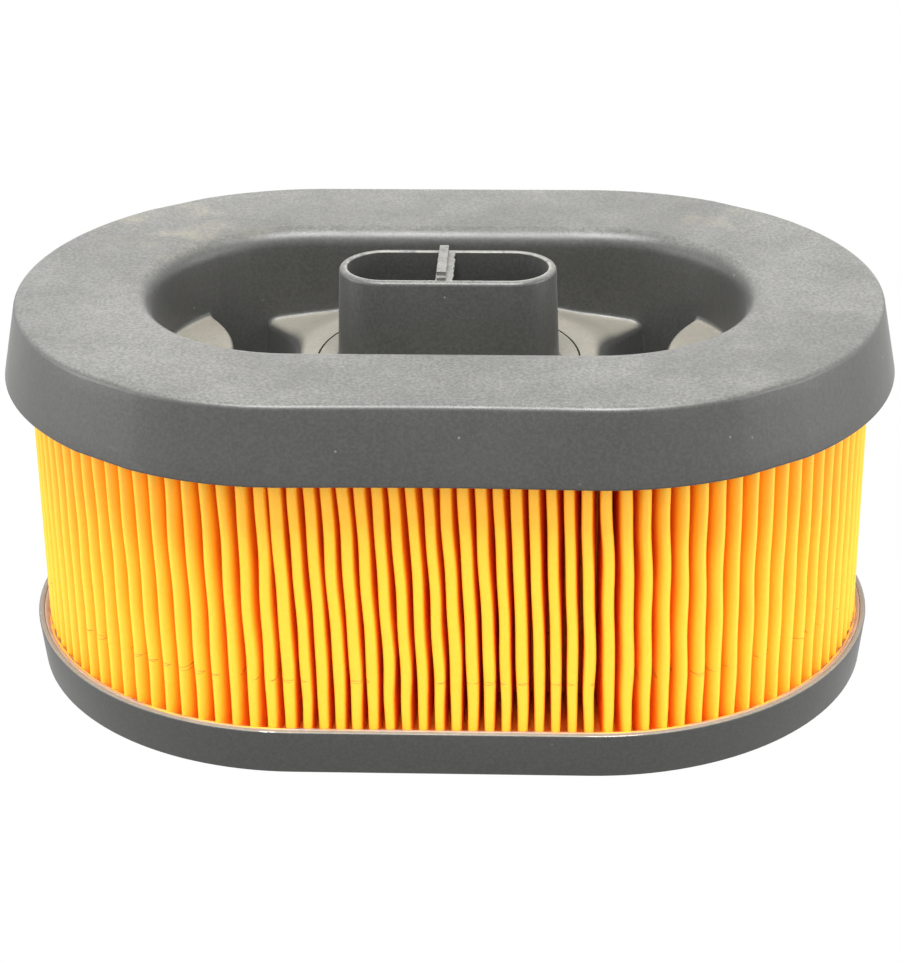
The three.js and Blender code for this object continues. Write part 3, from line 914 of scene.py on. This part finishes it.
def fold_drift(centres, z):
    """How far each fold's tip stands off its middle at each height, in folds."""
    side = FOLDS_PER_STRAIGHT + FOLDS_PER_END
    towards_middle = np.cos(np.clip((centres - 8) / 26, -1, 1) * math.pi / 2) ** 2
    front = np.where(centres < side, towards_middle, 0.35)
    rise = np.clip((z - LEAN_START_Z) / (PAPER_HIGH.z - LEAN_START_Z), 0, 1) ** 1.15
    lean = -FOLD_LEAN / PITCH * front[:, None] * rise[None, :]
    wave = np.zeros((FOLDS, len(z)))
    for length in (19.0, 31.0, 55.0):
        shared = RNG.random() * 2 * math.pi
        own = RNG.normal(0, 0.9, FOLDS)
        strength = WAVINESS / PITCH * RNG.uniform(0.3, 1.0, FOLDS)
        phase = shared + own + centres * 0.5
        wave += strength[:, None] * np.sin(2 * math.pi * z[None, :] / length + phase[:, None]) * 0.5
    held = smooth_step(z, PAPER_LOW.z + 1, 18)
    return lean + wave * held[None, :]


def folded_paper():
    """The whole strip of paper: every fold at every height, joined into one closed sheet."""
    rows = 30
    z = np.linspace(PAPER_LOW.z, PAPER_HIGH.z, rows)
    centres = fold_centres()
    drift = fold_drift(centres, z)
    end_share = on_end(np.arange(FOLDS))
    width = between(TIP_HALF_WIDTH, end_share) * RNG.uniform(0.93, 1.07, FOLDS)
    pinch = 1 - TIP_PINCH * (1 - smooth_step(z, 8, 24)) + 0.05 * np.exp(-(((z - 24) / 7) ** 2))
    valleys = (centres + np.roll(centres, -1)) / 2
    valleys[-1] += FOLDS / 2
    outer_rows, inner_rows = [], []
    for row in range(rows):
        outer_row, inner_row = [], []
        for k in range(FOLDS):
            half_width = width[k] * pinch[row]
            outer, inner = fold_section(half_width, PAPER_PLY, end_share[k])
            tip = centres[k] + drift[k, row]
            before = valleys[k - 1] - (FOLDS if k == 0 else 0)
            ends = (k, tip, before, valleys[k])
            outer_row.append(fold_points(*ends, outer, FOLD_INNER_R + PAPER_PLY, 0.08))
            inner_row.append(fold_points(*ends, inner, FOLD_INNER_R, 0.3))
        outer_rows.append(np.concatenate(outer_row))
        inner_rows.append(np.concatenate(inner_row))
    outer_points = with_height(outer_rows, z)
    inner_points = with_height(inner_rows, z)
    columns = outer_points.shape[1]
    total = rows * columns
    faces = [
        grid_faces(rows, columns),
        grid_faces(rows, columns, first=total),
        ring_bridge(0, total, columns),
        ring_bridge((rows - 1) * columns, total + (rows - 1) * columns, columns),
    ]
    points = np.concatenate([outer_points.reshape(-1, 3), inner_points.reshape(-1, 3)])
    return make_mesh("paper_surface", points, np.concatenate(faces), PAPER, sharp_angle=60)


def fold_points(k, tip, valley_before, valley_after, side, valley_r, valley_half):
    """One face of one fold, from the valley before it to the valley after it."""
    tip_pitch = pitch_at(k, FOLD_OUTER_R)
    places, radii = [], []
    flank_x, flank_depth = side[-1]
    flank_r = FOLD_OUTER_R - flank_depth
    left_end, right_end = valley_before + valley_half, valley_after - valley_half
    for share in (1.0, 0.66, 0.33, 0.1):
        places.append((tip - flank_x / tip_pitch) * (1 - share) + left_end * share)
        radii.append(flank_r * (1 - share) + valley_r * share)
    for offset, depth in side[::-1]:
        places.append(tip - offset / tip_pitch)
        radii.append(FOLD_OUTER_R - depth)
    for offset, depth in side:
        places.append(tip + offset / tip_pitch)
        radii.append(FOLD_OUTER_R - depth)
    for share in (0.1, 0.33, 0.66, 1.0):
        places.append((tip + flank_x / tip_pitch) * (1 - share) + right_end * share)
        radii.append(flank_r * (1 - share) + valley_r * share)
    x, y = fold_place(np.array(places), np.array(radii))
    return np.stack([x, y], axis=-1)


def with_height(rows, z):
    """Plan points of each row joined with that row's height."""
    plan = np.array(rows)
    height = np.broadcast_to(z[:, None, None], (*plan.shape[:2], 1))
    return np.concatenate([plan, height], axis=-1)


def ring_bridge(first, second, count):
    """Faces between two closed rings with the same number of points."""
    here = np.arange(count)
    after = (here + 1) % count
    return np.stack([first + here, first + after, second + after, second + here], axis=-1)


# ---------------------------------------------------------------- the object


def stand_for(piece, node):
    """Shows a piece in place of a packed one."""
    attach(piece, "root")
    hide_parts(node)


stand_for(top_cap(), "top_cap")
stand_for(outlet_neck(), "outlet_neck")
stand_for(neck_divider(), "neck_divider")
stand_for(base_pan(), "base_cap")
stand_for(folded_paper(), "pleat_pack")
for patch in (
    glue_bead(),
    torn_glue("torn_glue_right", 29.5, 41.5, 1.0),
    torn_glue("torn_glue_left", -37, -33.3, 0.6, count=14),
):
    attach(patch, "root")

PACKED_MATERIALS = {
    "lower_glue_bed": PAINTED_BOUNCE_GLUE,
    "upper_glue_bed": GLUE,
    "seam_strip": GLUE,
    "support_cage": CAGE,
    "neck_gasket": RUBBER,
    "neck_lock_ring": MOULDING,
}
for node, material in PACKED_MATERIALS.items():
    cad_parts[node].data.materials.clear()
    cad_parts[node].data.materials.append(material)


# ---------------------------------------------------------------- studio


def white_floor():
    """A floor so brightly lit that it photographs as plain white."""
    material = bpy.data.materials.new("studio_white")
    material.use_nodes = True
    tree = material.node_tree
    tree.nodes.clear()
    glow = tree.nodes.new("ShaderNodeEmission")
    glow.inputs["Color"].default_value = rgb(1, 1, 1)
    glow.inputs["Strength"].default_value = 1.0
    output = tree.nodes.new("ShaderNodeOutputMaterial")
    tree.links.new(glow.outputs[0], output.inputs["Surface"])
    size = 3.0
    mesh = bpy.data.meshes.new("floor")
    corners = [(-size, -size, 0), (size, -size, 0), (size, size, 0), (-size, size, 0)]
    mesh.from_pydata(corners, [], [(0, 1, 2, 3)])
    mesh.materials.append(material)
    floor = bpy.data.objects.new("floor", mesh)
    bpy.context.scene.collection.objects.link(floor)


def white_world(strength, front_strength):
    """An even white surround, dimmer on the side where the room is open."""
    world = bpy.data.worlds.new("studio")
    world.use_nodes = True
    tree = world.node_tree
    background = tree.nodes["Background"]
    background.inputs["Color"].default_value = rgb(1, 1, 1)
    direction = tree.nodes.new("ShaderNodeTexCoord")
    parts = tree.nodes.new("ShaderNodeSeparateXYZ")
    fade = tree.nodes.new("ShaderNodeMapRange")
    fade.interpolation_type = "SMOOTHSTEP"
    for name, value in (
        ("From Min", -0.9),
        ("From Max", 0.1),
        ("To Min", front_strength),
        ("To Max", strength),
    ):
        fade.inputs[name].default_value = value
    tree.links.new(direction.outputs["Generated"], parts.inputs["Vector"])
    tree.links.new(parts.outputs["Y"], fade.inputs["Value"])
    tree.links.new(fade.outputs["Result"], background.inputs["Strength"])
    bpy.context.scene.world = world


def softbox(name, place, target, width, height, power):
    """A rectangular light at a place, turned to a target, both in metres."""
    light = bpy.data.lights.new(name, "AREA")
    light.shape = "RECTANGLE"
    light.size, light.size_y, light.energy = width, height, power
    lamp = bpy.data.objects.new(name, light)
    lamp.location = place
    direction = Vector(target) - Vector(place)
    lamp.rotation_euler = direction.to_track_quat("-Z", "Y").to_euler()
    bpy.context.scene.collection.objects.link(lamp)


def photo_camera():
    """The camera that the proportions were fitted with, in metres and degrees."""
    elevation, azimuth, roll = (math.radians(angle) for angle in (26.31, 2.55, -0.6))
    distance, target = 0.56836, Vector((0, 0, 0.03724))
    back = Vector(
        (
            math.sin(azimuth) * math.cos(elevation),
            -math.cos(azimuth) * math.cos(elevation),
            math.sin(elevation),
        )
    )
    right = (-back).cross(Vector((0, 0, 1))).normalized()
    up = right.cross(-back)
    turned_right = right * math.cos(roll) + up * math.sin(roll)
    turned_up = up * math.cos(roll) - right * math.sin(roll)
    camera = bpy.data.cameras.new("camera")
    camera.sensor_fit = "VERTICAL"
    camera.sensor_height = 36
    camera.lens = 96.63
    holder = bpy.data.objects.new("camera", camera)
    axes = Matrix((turned_right, turned_up, back)).transposed().to_4x4()
    holder.matrix_world = Matrix.Translation(target + back * distance) @ axes
    bpy.context.scene.collection.objects.link(holder)
    bpy.context.scene.camera = holder


white_floor()
white_world(1.65, 1.1)
softbox("overhead", (0.0, -0.25, 0.85), (0, 0, 0.05), 0.45, 0.3, 16)
softbox("left", (-0.85, -0.15, 0.28), (0, 0, 0.04), 0.5, 0.5, 4.6)
softbox("right", (0.85, -0.15, 0.28), (0, 0, 0.04), 0.5, 0.5, 4.6)
photo_camera()
bpy.context.scene.view_settings.view_transform = "Standard"
# The light between two folds is nearly all bounced light, and it bounces many times.
bpy.context.scene.cycles.max_bounces = 32
bpy.context.scene.cycles.diffuse_bounces = 32

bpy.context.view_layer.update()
